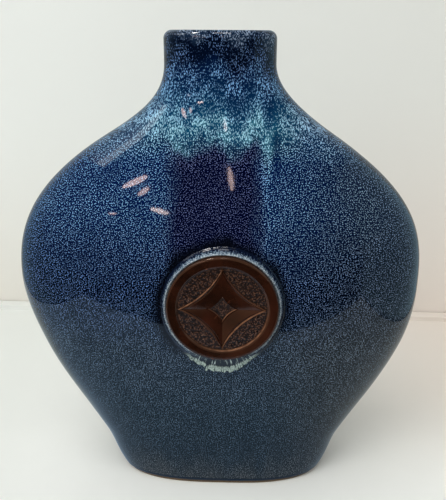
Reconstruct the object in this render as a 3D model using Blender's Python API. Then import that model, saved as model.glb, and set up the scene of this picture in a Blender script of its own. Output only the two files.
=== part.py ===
# Ceramic moon vase with a pressed medallion on its front, in metres, +Z up, front towards -Y.
# The body is two dished halves luted edge to edge. A thrown collar makes the neck and lip, a slab makes the
# floor, and the whole stands on a bare foot ring. The medallion is seated in a pad of clay on the belly.
# The origin is on the shelf, in the middle of the space that the vase takes.

import math

import bmesh
import bpy
import numpy as np
from mathutils import Vector
from mathutils.geometry import interpolate_bezier

height = 0.2800

# Full widths and depths of the outline, from the foot to the neck
foot_width = 0.1298
foot_depth = 0.0760
hip_width = 0.1602
hip_depth = 0.0862
belly_width = 0.2510
belly_depth = 0.1166
shoulder_width = 0.1375
shoulder_depth = 0.0728
neck_width = 0.0664
neck_depth = 0.0540

# Height of each stretch of the outline; the one from the hip to the widest place takes what these leave
hip_rise = 0.0296
shoulder_rise = 0.0848
flare_rise = 0.0419
neck_length = 0.0184
belly_rise = height - hip_rise - shoulder_rise - flare_rise - neck_length

# How far the wall leans from the vertical at the sides and at the front and back, in degrees
foot_side_lean = 36.8
foot_front_lean = 9.6
hip_side_lean = 34.4
hip_front_lean = 9.8
belly_front_lean = 4.0
shoulder_side_lean = 57.3
shoulder_front_lean = 25.2

# A level section is a rounded oval: 2 gives an ellipse, more gives a squarer one
foot_squareness = 2.75
body_squareness = 2.30
square_foot_height = 0.050

# Walls, lip, foot and floor
wall = 0.0055
lip_wall = 0.0075
lip_depth = 0.0140
lip_outer_radius = 0.0048
lip_inner_radius = 0.0025
neck_joint_drop = 0.0110
foot_ring_height = 0.0042
foot_ring_wall = 0.0125
foot_ring_edge = 0.0010
floor_thickness = 0.0060

# Medallion, a little below the widest place, and the clay pad that holds it
medallion_drop = 0.0053
medallion_offset = 0.0020
medallion_radius = 0.0317
medallion_thickness = 0.0038
medallion_edge = 0.0009
medallion_lean = 4.6
ring_band_width = 0.0066
field_depth = 0.0012
pad_radius = 0.0348
pad_thickness = 0.0010
pad_rim_height = 0.0018
pad_rim_inner = 0.0013
pad_root = 0.0120
star_reach = 0.0243
star_waist = 0.0130
star_ridge_height = 0.0008
star_ridge_width = 0.0014
inner_star_reach = 0.0077
inner_star_waist = 0.0043
inner_star_depth = 0.0007

# Gap between pieces that touch
clearance = 0.0003

# Fineness of the faceted solids
curve_steps = 6
side_steps = 28
lip_steps = 4
edge_steps = 3
arc_steps = 16
curve_reach = 0.36


# Outline of the vase: half width, half depth and level up the wall

def lean(side, front):
    return Vector((math.tan(math.radians(side)), math.tan(math.radians(front)), 1))


def outline_knots():
    """Each knot of the outline, with the direction that the wall runs in there."""
    upright = lean(0, 0)
    stretches = [
        (foot_width, foot_depth, 0, lean(foot_side_lean, foot_front_lean)),
        (hip_width, hip_depth, hip_rise, lean(hip_side_lean, hip_front_lean)),
        (belly_width, belly_depth, belly_rise, lean(0, belly_front_lean)),
        (shoulder_width, shoulder_depth, shoulder_rise, lean(-shoulder_side_lean, -shoulder_front_lean)),
        (neck_width, neck_depth, flare_rise, upright),
        (neck_width, neck_depth, neck_length, upright),
    ]
    level = 0
    knots = []
    for width, depth, rise, direction in stretches:
        level += rise
        knots.append((Vector((width / 2, depth / 2, level)), direction))
    return knots


def outline_curve(steps):
    """Points up the wall, on one smooth curve through the knots."""
    points = []
    knots = outline_knots()
    for (start, start_way), (end, end_way) in zip(knots, knots[1:]):
        reach = (end.z - start.z) * curve_reach
        points += interpolate_bezier(start, start + start_way * reach, end - end_way * reach, end, steps + 1)[:-1]
    return points + [knots[-1][0]]


fine_curve = np.array(outline_curve(64))
greatest_half_depth = float(fine_curve[:, 1].max())
medallion_height = hip_rise + belly_rise - medallion_drop
neck_joint_height = height - neck_length - neck_joint_drop


def half_sizes(level):
    """Half width and half depth at a level above the shelf, and how fast each grows with it."""
    step = 0.0005
    low, high = max(level - step, 0), min(level + step, height)
    width, depth = (np.interp((level, low, high), fine_curve[:, 2], fine_curve[:, i]) for i in (0, 1))
    return width[0], depth[0], (width[2] - width[1]) / (high - low), (depth[2] - depth[1]) / (high - low)


def squareness(level):
    share = min(level / square_foot_height, 1)
    return foot_squareness + (body_squareness - foot_squareness) * share


def wall_point(turn, level, inset=0):
    """A point of the wall at a turn round the vase (0 is +X), moved in through the wall by the inset."""
    width, depth, width_growth, depth_growth = half_sizes(level)
    power = squareness(level)
    across, along = math.cos(turn), math.sin(turn)
    x = math.copysign(width * abs(across) ** (2 / power), across)
    y = math.copysign(depth * abs(along) ** (2 / power), along)
    out_x = math.copysign(abs(x / width) ** (power - 1) / width, x)
    out_y = math.copysign(abs(y / depth) ** (power - 1) / depth, y)
    out_z = -abs(x / width) ** power * width_growth / width - abs(y / depth) ** power * depth_growth / depth
    flat = math.hypot(out_x, out_y)
    shift = inset * math.hypot(flat, out_z) / flat
    return Vector((x - out_x / flat * shift, y - out_y / flat * shift, level))


def levels_between(low, high):
    """Levels of the outline's own points from low to high, with both ends."""
    margin = 0.0015
    inner = [point.z for point in outline_curve(curve_steps) if low + margin < point.z < high - margin]
    return [low] + inner + [high]


def turns(start, end, steps):
    return [start + (end - start) * i / steps for i in range(steps + 1)]


def full_ring(level, inset=0):
    return [wall_point(turn, level, inset) for turn in turns(0, math.tau, 2 * side_steps)[:-1]]


# Making closed solids

def add_object(name, bm, color, roughness):
    """Puts a finished mesh in the scene with its material, shaded smooth but for its edges."""
    if bm.calc_volume(signed=True) < 0:
        bmesh.ops.reverse_faces(bm, faces=bm.faces)
    mesh = bpy.data.meshes.new(name)
    bm.to_mesh(mesh)
    bm.free()
    mesh.shade_smooth()
    mesh.set_sharp_from_angle(angle=math.radians(35))
    material = bpy.data.materials.new(name)
    material.use_nodes = True
    shader = material.node_tree.nodes["Principled BSDF"]
    shader.inputs["Base Color"].default_value = (*color, 1)
    shader.inputs["Roughness"].default_value = roughness
    shader.inputs["Metallic"].default_value = 0
    mesh.materials.append(material)
    piece = bpy.data.objects.new(name, mesh)
    bpy.context.scene.collection.objects.link(piece)
    return piece


def skin(loops, round_again=False):
    """Joins loops of equal counts side by side; the ends are capped, or the last loop meets the first."""
    bm = bmesh.new()
    rows = [[bm.verts.new(point) for point in loop] for loop in loops]
    pairs = list(zip(rows, rows[1:]))
    if round_again:
        pairs.append((rows[-1], rows[0]))
    for lower, upper in pairs:
        for i in range(len(lower)):
            bm.faces.new((lower[i - 1], lower[i], upper[i], upper[i - 1]))
    if not round_again:
        bm.faces.new(reversed(rows[0]))
        bm.faces.new(rows[-1])
    return bm


# Pieces of the body

def half_shell(name, start_turn, side):
    """One dished half of the body, open at the foot, at the neck and along the seam."""
    half_turns = turns(start_turn, start_turn + math.pi, side_steps)
    loops = []
    for level in levels_between(foot_ring_height + clearance, neck_joint_height):
        outer = [wall_point(turn, level) for turn in half_turns]
        inner = [wall_point(turn, level, wall) for turn in half_turns]
        for end in (outer[0], outer[-1], inner[0], inner[-1]):
            end.y = side * clearance / 2
        loops.append(outer + inner[::-1])
    return add_object(name, skin(loops), (0.012, 0.035, 0.10), 0.14)


def neck():
    """Collar with its rolled lip, seated on the two halves."""
    low = neck_joint_height + clearance
    loops = [full_ring(level) for level in levels_between(low, height - lip_outer_radius)]
    for turn in turns(0, math.pi / 2, lip_steps)[1:]:
        drop, inset = lip_outer_radius * (1 - math.sin(turn)), lip_outer_radius * (1 - math.cos(turn))
        loops.append(full_ring(height - drop, inset))
    for turn in turns(0, math.pi / 2, lip_steps):
        drop, inset = lip_inner_radius * (1 - math.cos(turn)), lip_inner_radius * (1 - math.sin(turn))
        loops.append(full_ring(height - drop, lip_wall - inset))
    loops += [full_ring(level, wall) for level in reversed(levels_between(low, height - lip_depth))]
    return add_object("neck", skin(loops, round_again=True), (0.010, 0.022, 0.07), 0.12)


def foot_ring():
    """Bare clay ring that the vase stands on, with a ledge inside it for the floor."""
    loops = [
        full_ring(foot_ring_height),
        full_ring(foot_ring_edge),
        full_ring(0, foot_ring_edge),
        full_ring(0, foot_ring_wall - foot_ring_edge),
        full_ring(foot_ring_edge, foot_ring_wall),
        full_ring(foot_ring_height, foot_ring_wall),
    ]
    return add_object("foot_ring", skin(loops, round_again=True), (0.20, 0.12, 0.06), 0.75)


def floor_slab():
    """Floor inside the walls, resting on the ledge of the foot ring."""
    low = foot_ring_height + clearance
    loops = [full_ring(level, wall + clearance) for level in (low, low + floor_thickness)]
    return add_object("floor_slab", skin(loops), (0.03, 0.05, 0.09), 0.35)


# Medallion and its pad, on a plane that leans with the belly

belly_front = half_sizes(medallion_height)[1]
face_lean = math.radians(medallion_lean)
face_out = Vector((0, -math.cos(face_lean), -math.sin(face_lean)))
face_up = Vector((0, -math.sin(face_lean), math.cos(face_lean)))
seat = Vector((medallion_offset, -belly_front, medallion_height)) + face_out * pad_thickness


def on_face(radius, turn, out):
    """A point at a radius and a turn round the medallion, and a distance out from its seat."""
    return seat + Vector((radius * math.cos(turn), 0, 0)) + face_up * radius * math.sin(turn) + face_out * out


def face_circle(radius, out):
    return [on_face(radius, turn, out) for turn in turns(0, math.tau, 4 * arc_steps)[:-1]]


def face_star(reach, waist, out):
    """Four-pointed star of hollow arcs, from its points' reach and its waist on the diagonals."""
    middle = waist / math.sqrt(2)
    centre = (reach ** 2 - 2 * middle ** 2) / (2 * reach - 4 * middle)
    radius = math.hypot(reach - centre, centre)
    start = math.atan2(-centre, reach - centre)
    end = math.atan2(reach - centre, -centre)
    points = []
    for quarter in range(4):
        for turn in turns(start, end, arc_steps)[:-1]:
            x, y = centre + radius * math.cos(turn), centre + radius * math.sin(turn)
            points.append(on_face(math.hypot(x, y), math.atan2(y, x) + quarter * math.pi / 2, out))
    return points


def rounded(centre, radius, out, rise):
    """Circles up a quarter round: from its widest at centre + radius to its top, out + rise."""
    quarter = turns(0, math.pi / 2, edge_steps)
    return [face_circle(centre + radius * math.cos(turn), out + rise * math.sin(turn)) for turn in quarter]


def medallion():
    """Pressed disc: a plain ring band round a sunken field, and a ridged star with a sunken middle."""
    field_radius = medallion_radius - ring_band_width
    top = medallion_thickness
    field = top - field_depth
    ridge = field + star_ridge_height
    half_ridge = star_ridge_width / 2
    loops = [
        face_circle(medallion_radius, clearance),
        *rounded(medallion_radius - medallion_edge, medallion_edge, top - medallion_edge, medallion_edge),
        face_circle(field_radius + field_depth / 2, top),
        face_circle(field_radius, field),
        face_star(star_reach, star_waist + half_ridge, field),
        face_star(star_reach - half_ridge, star_waist, ridge),
        face_star(star_reach - star_ridge_width, star_waist - half_ridge, field),
        face_star(inner_star_reach, inner_star_waist, field - inner_star_depth),
    ]
    return add_object("medallion", skin(loops), (0.045, 0.012, 0.006), 0.2)


def body_cutter():
    """The body's outline, larger by the clearance, to cut the back of the pad to the curve of the belly."""
    low, high = foot_ring_height + clearance, neck_joint_height
    loops = [full_ring(level, -clearance) for level in levels_between(low, high)]
    cutter = add_object("body_cutter", skin(loops), (0.5, 0.5, 0.5), 0.5)
    cutter.hide_render = True
    cutter.display_type = "WIRE"
    return cutter


def medallion_pad(cutter):
    """Clay pad with a flat seat and a rolled rim round the medallion, its back cut to the belly."""
    seat_radius = medallion_radius + clearance
    crest = seat_radius + pad_rim_inner
    loops = [
        face_circle(pad_radius, -pad_root),
        *rounded(crest, pad_radius - crest, 0, pad_rim_height),
        *rounded(crest, -pad_rim_inner, 0, pad_rim_height)[-2::-1],
    ]
    pad = add_object("medallion_pad", skin(loops), (0.35, 0.45, 0.50), 0.2)
    cut = pad.modifiers.new("back cut to the belly", "BOOLEAN")
    cut.operation = "DIFFERENCE"
    cut.solver = "EXACT"
    cut.object = cutter
    return pad


def build():
    for old in list(bpy.data.objects):
        bpy.data.objects.remove(old, do_unlink=True)
    disc = medallion()
    cutter = body_cutter()
    pieces = [
        half_shell("front_shell", math.pi, -1),
        half_shell("back_shell", 0, 1),
        neck(),
        foot_ring(),
        floor_slab(),
        medallion_pad(cutter),
        disc,
    ]
    # The medallion makes the vase deeper at the front, so the body stands back from the middle by half of that
    front = min(vertex.co.y for vertex in disc.data.vertices)
    for piece in pieces + [cutter]:
        piece.location.y = -(front + greatest_half_depth) / 2


build()
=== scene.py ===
# Glazed stoneware moon vase with a pressed medallion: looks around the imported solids
# The pieces are shaped in millimetres in the frame of the solids and brought to metres when they are finished

import math
from functools import lru_cache, partial

import bmesh
import bpy
from mathutils import Matrix, Vector, noise
from mathutils.geometry import interpolate_bezier


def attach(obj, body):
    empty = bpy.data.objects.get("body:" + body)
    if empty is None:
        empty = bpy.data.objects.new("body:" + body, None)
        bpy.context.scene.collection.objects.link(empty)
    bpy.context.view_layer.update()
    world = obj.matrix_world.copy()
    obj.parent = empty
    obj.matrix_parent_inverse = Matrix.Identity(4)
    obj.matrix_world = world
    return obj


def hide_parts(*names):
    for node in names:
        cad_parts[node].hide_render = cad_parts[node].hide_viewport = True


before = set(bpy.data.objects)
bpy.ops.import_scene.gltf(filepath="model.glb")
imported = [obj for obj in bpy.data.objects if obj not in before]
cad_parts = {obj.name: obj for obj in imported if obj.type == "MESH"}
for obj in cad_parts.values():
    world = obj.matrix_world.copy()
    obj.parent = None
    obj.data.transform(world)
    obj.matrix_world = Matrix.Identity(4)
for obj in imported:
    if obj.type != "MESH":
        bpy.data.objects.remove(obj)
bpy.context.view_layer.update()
mm = 0.001
print("solids loaded:", ", ".join(sorted(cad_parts)))


# Small tools

def ease(share):
    share = min(max(share, 0), 1)
    return share * share * (3 - 2 * share)


def steps(start, end, count):
    return [start + (end - start) * i / count for i in range(count + 1)]


def linearColor(hexCode):
    # sRGB hex to linear light
    values = [int(hexCode[i:i + 2], 16) / 255 for i in (1, 3, 5)]
    return [v / 12.92 if v <= 0.04045 else ((v + 0.055) / 1.055) ** 2.4 for v in values] + [1.0]


def setInput(socket, value):
    # a number, a vector, a hex colour, a socket, or a node, whose first working output is then used
    if isinstance(value, bpy.types.Node):
        value = next(output for output in value.outputs if output.enabled)
    if isinstance(value, bpy.types.NodeSocket):
        socket.id_data.links.new(value, socket)
    else:
        socket.default_value = linearColor(value) if isinstance(value, str) else value


def setInputs(node, **inputs):
    for name, value in inputs.items():
        setInput(node.inputs[name.replace("_", " ")], value)


modes = {"Math": "operation", "VectorMath": "operation", "Mix": "data_type", "MapRange": "interpolation_type"}


def addNode(tree, kind, *values, **named):
    # adds a node, such as "Mapping", or "Math ADD" with its mode, and fills its working inputs in order
    # names in small letters are settings, and the others are inputs
    kind, _, mode = kind.partition(" ")
    added = tree.nodes.new("ShaderNode" + kind)
    settings = {name: value for name, value in named.items() if name.islower()}
    if mode:
        settings[modes[kind]] = mode
    for name, value in settings.items():
        setattr(added, name, value)
    for socket, value in zip([socket for socket in added.inputs if socket.enabled], values):
        setInput(socket, value)
    setInputs(added, **{name: value for name, value in named.items() if name not in settings})
    return added


def fillRamp(ramp, stops):
    # stops are (position, colour or grey value)
    elements = ramp.color_ramp.elements
    while len(elements) < len(stops):
        elements.new(0.5)
    for element, (position, value) in zip(elements, sorted(stops, key=lambda stop: stop[0])):
        element.position = position
        element.color = linearColor(value) if isinstance(value, str) else (value, value, value, 1)
    return ramp


def newMaterial(name, **inputs):
    # gives the material, the tool that adds nodes to it, its shader, and the place on the piece in millimetres
    material = bpy.data.materials.new(name)
    material.use_nodes = True
    put = partial(addNode, material.node_tree)
    shader = material.node_tree.nodes["Principled BSDF"]
    setInputs(shader, **inputs)
    place = put("Mapping", put("TexCoord").outputs["Object"], Scale=(1 / mm, 1 / mm, 1 / mm))
    return material, put, shader, place


def drawnOut(put, place, width, height, **settings):
    # noise of that width, drawn out to that height
    scaled = put("Mapping", place, Scale=(1 / width, 1 / width, 1 / height))
    return put("TexNoise", scaled, Scale=1.0, **settings)


def narrowed(put, share, *spans):
    # the share, kept only where each source has passed smoothly from one value to another
    for source, (start, end) in spans:
        passed = put("MapRange SMOOTHSTEP", source, start, end)
        share = put("Math MULTIPLY", share, passed)
    return share


def raiseRings(rings, joinEnds=False):
    # a circle of edges takes the places of the first ring and is extruded to each next one
    bm = bmesh.new()
    column = bm.verts.layers.int.new("column")
    ringNumber = bm.verts.layers.int.new("ring")
    current = bmesh.ops.create_circle(bm, segments=len(rings[0]), radius=1)["verts"]
    for i, vert in enumerate(current):
        vert[column] = i
        vert.co = rings[0][i]
    firstEdges = edges = list(bm.edges)
    for number, ring in enumerate(rings[1:], start=1):
        grown = bmesh.ops.extrude_edge_only(bm, edges=edges)["geom"]
        fresh = {part for part in grown if isinstance(part, bmesh.types.BMVert)}
        for vert in fresh:
            vert[ringNumber] = number
            vert.co = ring[vert[column]]
        edges = [part for part in grown if isinstance(part, bmesh.types.BMEdge)
                 and part.verts[0] in fresh and part.verts[1] in fresh]
    if joinEnds:
        bmesh.ops.bridge_loops(bm, edges=firstEdges + edges)
    else:
        for loop in (firstEdges, edges):
            bmesh.ops.contextual_create(bm, geom=loop)
    bmesh.ops.recalc_face_normals(bm, faces=bm.faces)
    if bm.calc_volume(signed=True) < 0:
        bmesh.ops.reverse_faces(bm, faces=bm.faces)
    return bm


def addPiece(name, bm, materials):
    mesh = bpy.data.meshes.new(name)
    bm.to_mesh(mesh)
    bm.free()
    for material in materials:
        mesh.materials.append(material)
    piece = bpy.data.objects.new(name, mesh)
    bpy.context.scene.collection.objects.link(piece)
    return piece


def finishPiece(name, bm, materials, replaced, sharp=40):
    # millimetres to metres, then a named piece that rides on the body
    bmesh.ops.scale(bm, vec=(mm, mm, mm), verts=bm.verts)
    piece = addPiece(name, bm, materials)
    piece.data.shade_smooth()
    piece.data.set_sharp_from_angle(angle=math.radians(sharp))
    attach(piece, "root")
    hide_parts(*replaced)
    print("made", name, "with", len(piece.data.polygons), "faces")
    return piece


# Form of the vase: the outline of the solids, in finer steps

vase = {
    # half width, half depth, level (mm), then the lean of the wall at the side and at the front (degrees)
    "knots": [
        (64.9, 38.0, 0.0, 36.8, 9.6),         # foot
        (80.1, 43.1, 29.6, 34.4, 9.8),        # hip
        (125.5, 58.3, 134.9, 0.0, 4.0),       # belly
        (68.75, 36.4, 219.7, -57.3, -25.2),   # shoulder
        (33.2, 27.0, 261.6, 0.0, 0.0),        # under the neck
        (33.2, 27.0, 280.0, 0.0, 0.0),        # lip
    ],
    "ringsBetween": (12, 34, 34, 26, 8),
    "fineSteps": 8,       # of the outline from one ring to the next
    "neckSteps": 4,       # the same on the neck's wall
    "curveReach": 0.36,
    "footSquareness": 2.75,
    "bodySquareness": 2.30,
    "squareFootHeight": 50.0,
    "axisY": 3.28,
    # thrown and luted by hand: how far the middle of the wall strays sideways at a few levels
    "sway": [(0, 0.7), (45, 0.2), (90, 0.0), (134, -1.9), (175, -1.6), (205, -1.8), (235, -0.3), (262, -1.8),
             (280, -1.9)],
    "wobble": [(62.0, 0.30), (27.0, 0.10)],   # size of each hollow and its depth
    "wall": 5.5,
    "lipWall": 7.5,
    "lipDepth": 14.0,
    "lipOuterRadius": 4.8,
    "lipInnerRadius": 2.5,
    "lipSteps": (9, 6, 6),   # round the outer edge, round the inner edge, and down to the wall
    "shellBottom": 4.35,
    "neckJoint": 250.75,
    "linerDepth": 12.0,      # below the lip, where the liner glaze begins
    "sideSteps": 224,
    "insideSteps": 72,
    "normalReach": (0.004, 0.3),   # the turn and the height over which the wall's direction is taken, to each side
}


def outlineCurve():
    points = []
    for start, end, count in zip(vase["knots"], vase["knots"][1:], vase["ringsBetween"]):
        reach = (end[2] - start[2]) * vase["curveReach"]
        first, last = Vector(start[:3]), Vector(end[:3])
        leave = Vector((math.tan(math.radians(start[3])), math.tan(math.radians(start[4])), 1)) * reach
        arrive = Vector((math.tan(math.radians(end[3])), math.tan(math.radians(end[4])), 1)) * reach
        points += interpolate_bezier(first, first + leave, last - arrive, last, count * vase["fineSteps"] + 1)[:-1]
    return points + [last]


fineOutline = outlineCurve()


@lru_cache(maxsize=None)
def halfSizes(level):
    level = min(max(level, 0), fineOutline[-1].z)
    low, high = 0, len(fineOutline) - 1
    while high - low > 1:
        middle = (low + high) // 2
        low, high = (middle, high) if fineOutline[middle].z <= level else (low, middle)
    start, end = fineOutline[low], fineOutline[high]
    share = (level - start.z) / (end.z - start.z)
    return start.x + (end.x - start.x) * share, start.y + (end.y - start.y) * share


@lru_cache(maxsize=None)
def squareness(level):
    share = ease(level / vase["squareFootHeight"])
    return vase["footSquareness"] + (vase["bodySquareness"] - vase["footSquareness"]) * share


@lru_cache(maxsize=None)
def swayAt(level):
    stops = vase["sway"]
    for (low, start), (high, end) in zip(stops, stops[1:]):
        if level <= high:
            return start + (end - start) * ease((level - low) / (high - low))
    return stops[-1][1]


def wobbleAt(point):
    return sum(noise.noise(point / size) * depth for size, depth in vase["wobble"])


def wallPoint(turn, level, inset=0.0):
    # a point of the wall at a turn round the vase (0 is +X), moved in through the wall by the inset
    halfWidth, halfDepth = halfSizes(level)
    (widthAbove, depthAbove), (widthBelow, depthBelow) = halfSizes(level + 0.5), halfSizes(level - 0.5)
    widthGrowth, depthGrowth = widthAbove - widthBelow, depthAbove - depthBelow   # over 1 mm of height
    power = squareness(level)
    across, along = math.cos(turn), math.sin(turn)
    x = math.copysign(halfWidth * abs(across) ** (2 / power), across)
    y = math.copysign(halfDepth * abs(along) ** (2 / power), along)
    outX = math.copysign(abs(x / halfWidth) ** (power - 1) / halfWidth, x)
    outY = math.copysign(abs(y / halfDepth) ** (power - 1) / halfDepth, y)
    outZ = -abs(x / halfWidth) ** power * widthGrowth / halfWidth
    outZ -= abs(y / halfDepth) ** power * depthGrowth / halfDepth
    flat = math.hypot(outX, outY)
    shift = inset * math.hypot(flat, outZ) / flat - wobbleAt(Vector((x, y, level)))
    return Vector((x - outX / flat * shift + swayAt(level), y - outY / flat * shift + vase["axisY"], level))


def wallNormal(turn, level):
    aside, above = vase["normalReach"]
    sideways = wallPoint(turn + aside, level) - wallPoint(turn - aside, level)
    upward = wallPoint(turn, level + above) - wallPoint(turn, level - above)
    return sideways.cross(upward).normalized()


def frontOfWall(x, z):
    # y of the front wall at a place
    halfWidth, halfDepth = halfSizes(z)
    power = squareness(z)
    aside = min(abs((x - swayAt(z)) / halfWidth), 1)
    y = -halfDepth * (1 - aside ** power) ** (1 / power)
    return y + vase["axisY"] - wobbleAt(Vector((x - swayAt(z), y, z)))


def levelsBetween(low, high, every=vase["fineSteps"]):
    margin = 0.8
    return [low] + [point.z for point in fineOutline[::every] if low + margin < point.z < high - margin] + [high]


def keepWallShading(piece, places):
    # pieces that meet share the wall's own directions at the joint, so that the glaze runs on without a line
    mesh = piece.data
    rings, columns = mesh.attributes["ring"].data, mesh.attributes["column"].data
    place = [places.get((rings[i].value, columns[i].value)) for i in range(len(mesh.vertices))]
    wayOut = {}
    directions = []
    for polygon in mesh.polygons:
        onWall = all(place[v] for v in polygon.vertices)
        for v in polygon.vertices:
            if onWall and v not in wayOut:
                wayOut[v] = wallNormal(*place[v])
            directions.append(wayOut[v] if onWall else (0, 0, 0))
    mesh.normals_split_custom_set(directions)


print("outline ready")


# Glazed body: two dished halves and the neck, whose outsides meet along the luted joints

def makeShell(name, startTurn, materials, replaced):
    outside = steps(startTurn, startTurn + math.pi, vase["sideSteps"])
    inside = steps(startTurn + math.pi, startTurn, vase["insideSteps"])
    levels = levelsBetween(vase["shellBottom"], vase["neckJoint"])
    rings = [[wallPoint(turn, level) for turn in outside] + [wallPoint(turn, level, vase["wall"]) for turn in inside]
             for level in levels]
    places = {(r, c): (turn, level) for r, level in enumerate(levels) for c, turn in enumerate(outside)}
    bm = raiseRings(rings)
    column = bm.verts.layers.int["column"]
    for face in bm.faces:
        face.material_index = int(all(vert[column] >= len(outside) for vert in face.verts))
    keepWallShading(finishPiece(name, bm, materials, [replaced]), places)


def makeNeck(materials):
    around = steps(0, math.tau, 2 * vase["sideSteps"])[:-1]
    outer, inner, thick, wall = vase["lipOuterRadius"], vase["lipInnerRadius"], vase["lipWall"], vase["wall"]
    joint, top = vase["neckJoint"], vase["knots"][-1][2]
    lipStart, lipEnd = top - inner, top - vase["lipDepth"]
    outerSteps, innerSteps, taperSteps = vase["lipSteps"]
    profile = [(level, 0) for level in levelsBetween(joint, top - outer, vase["neckSteps"])]
    wallRings = len(profile)
    profile += [(top - outer * (1 - math.sin(turn)), outer * (1 - math.cos(turn)))
                for turn in steps(0, math.pi / 2, outerSteps)[1:]]
    profile += [(top - inner * (1 - math.cos(turn)), thick - inner * (1 - math.sin(turn)))
                for turn in steps(0, math.pi / 2, innerSteps)]
    profile += [(level, thick + (wall - thick) * ease((lipStart - level) / (lipStart - lipEnd)))
                for level in steps(lipStart, lipEnd, taperSteps)[1:]]
    profile += [(level, wall) for level in reversed(levelsBetween(joint, lipEnd)[:-1])]
    rings = [[wallPoint(turn, level, inset) for turn in around] for level, inset in profile]
    places = {(r, c): (turn, profile[r][0]) for r in range(wallRings) for c, turn in enumerate(around)}
    bm = raiseRings(rings, joinEnds=True)
    ringNumber = bm.verts.layers.int["ring"]
    linerTop = top - vase["linerDepth"]
    for face in bm.faces:
        low = min(vert.co.z for vert in face.verts)
        face.material_index = int(all(vert[ringNumber] > wallRings for vert in face.verts) and low < linerTop)
    keepWallShading(finishPiece("glazed_neck", bm, materials, ["neck"]), places)


# Foot ring: bare clay that the glaze stops short of, with its edges wiped round

footRing = {
    "width": 12.5,
    # level and inset of each ring up the outside
    "outside": [(0.0, 1.5), (0.25, 0.95), (0.7, 0.62), (1.3, 0.5), (1.9, 0.46), (2.15, 0.36), (2.4, 0.12), (2.8, 0.0),
                (3.5, -0.02), (4.3, 0.0)],
    "insideEdge": 1.0, "insideRound": 0.3,
}


def makeFootRing(material):
    around = steps(0, math.tau, 2 * vase["sideSteps"])[:-1]
    width, edge, rounded = footRing["width"], footRing["insideEdge"], footRing["insideRound"]
    top = footRing["outside"][-1][0]
    profile = footRing["outside"] + [(top, width), (edge, width), (rounded, width - rounded), (0, width - edge)]
    rings = [[wallPoint(turn, level, inset) for turn in around] for level, inset in profile]
    bm = raiseRings(rings, joinEnds=True)
    finishPiece("stoneware_foot_ring", bm, [material], ["foot_ring"])


# Medallion: a pressed disc with a plain band, a pebbled field and a four-pointed star, seated in a collar of clay

disc = {
    # centre, lean of the face, and how far its seat lies in front of the wall
    "across": 2.0, "level": 129.6, "lean": 4.6, "seatOut": 1.0,
    "radius": 31.9, "top": 3.8, "underside": 0.3, "edge": 1.1, "edgeSteps": 7,
    # radius and height of the rings from the band down to the field
    "band": [(29.8, 3.76), (28.6, 3.7), (27.4, 3.65), (26.8, 3.62), (26.45, 3.55), (26.15, 3.4), (25.95, 3.1),
             (25.75, 2.8), (25.5, 2.62)],
    "fieldRadius": 25.2, "field": 2.55, "fieldRings": 34, "fieldFade": 8,
    "starReach": 24.9, "starWaist": 13.9, "starMargin": 0.75,
    # how far inside the star's outline, and height, over its ridge and into the groove behind that
    "ridge": [(0.12, 2.8), (0.28, 3.2), (0.44, 3.42), (0.6, 3.46), (0.76, 3.38), (0.95, 3.0), (1.15, 2.6), (1.4, 2.42),
              (1.65, 2.46), (1.9, 2.62), (2.15, 2.7)],
    "ridgeAtPoints": 0.9,     # share of that inset at the star's four points
    "slopeTop": (2.2, 1.65, 2.68), "slopeFoot": (0.35, 0.3, 2.1), "slopeRings": 10,
    "innerReach": 7.9, "innerWaist": 4.5,
    "innerStep": [(0.2, 2.11), (0.06, 2.04), (-0.06, 1.82), (-0.18, 1.6), (-0.32, 1.52)],
    "innerFloor": 1.5, "innerMargin": (0.5, 0.45), "innerMiddle": 0.3, "innerRings": 12,
    "innerFade": 5, "innerPebbles": 0.8, "innerPlain": 0.9,
    "quarterSteps": 80,
    # pressed grain in mm, how much the pebbles and a slower drift count in it, and the mean of the two
    "pebble": 0.75, "pebbleDepth": 0.24, "pebbleGain": 1.6, "drift": 0.37, "driftGain": 0.5, "pebbleMean": 0.35,
}
lean = math.radians(disc["lean"])
seat = Vector((disc["across"], vase["axisY"] - halfSizes(disc["level"])[1], disc["level"]))
faceRight = Vector((1, 0, 0))
faceUp = Vector((0, -math.sin(lean), math.cos(lean)))
faceOut = Vector((0, -math.cos(lean), -math.sin(lean)))
seat += faceOut * disc["seatOut"]
onFace = Matrix.Translation(seat) @ Matrix((faceRight, faceUp, faceOut)).transposed().to_4x4()
discTurns = steps(0, math.tau, 4 * disc["quarterSteps"])[:-1]


def circleRing(radius, out):
    return [Vector((radius * math.cos(turn), radius * math.sin(turn), out)) for turn in discTurns]


def starRing(reach, waist, out):
    # four hollow arcs between points at the reach; the waist is on the diagonals
    middle = waist / math.sqrt(2)
    centre = (reach ** 2 - 2 * middle ** 2) / (2 * reach - 4 * middle)
    radius = math.hypot(reach - centre, centre)
    start, end = math.atan2(-centre, reach - centre), math.atan2(reach - centre, -centre)
    ring = []
    for quarter in range(4):
        for turn in steps(start, end, disc["quarterSteps"])[:-1]:
            point = Vector((centre + radius * math.cos(turn), centre + radius * math.sin(turn), out))
            ring.append(Matrix.Rotation(quarter * math.pi / 2, 3, "Z") @ point)
    return ring


def between(startRing, endRing, share):
    return [start.lerp(end, share) for start, end in zip(startRing, endRing)]


def pebbled(ring, amount):
    # pressed grain: rounded pebbles with narrow valleys
    for point in ring:
        flat = Vector((point.x, point.y, 0)) / disc["pebble"]
        grain = abs(noise.noise(flat)) * disc["pebbleGain"] + noise.noise(flat * disc["drift"]) * disc["driftGain"]
        point.z += (grain - disc["pebbleMean"]) * disc["pebbleDepth"] * amount
    return ring


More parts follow.
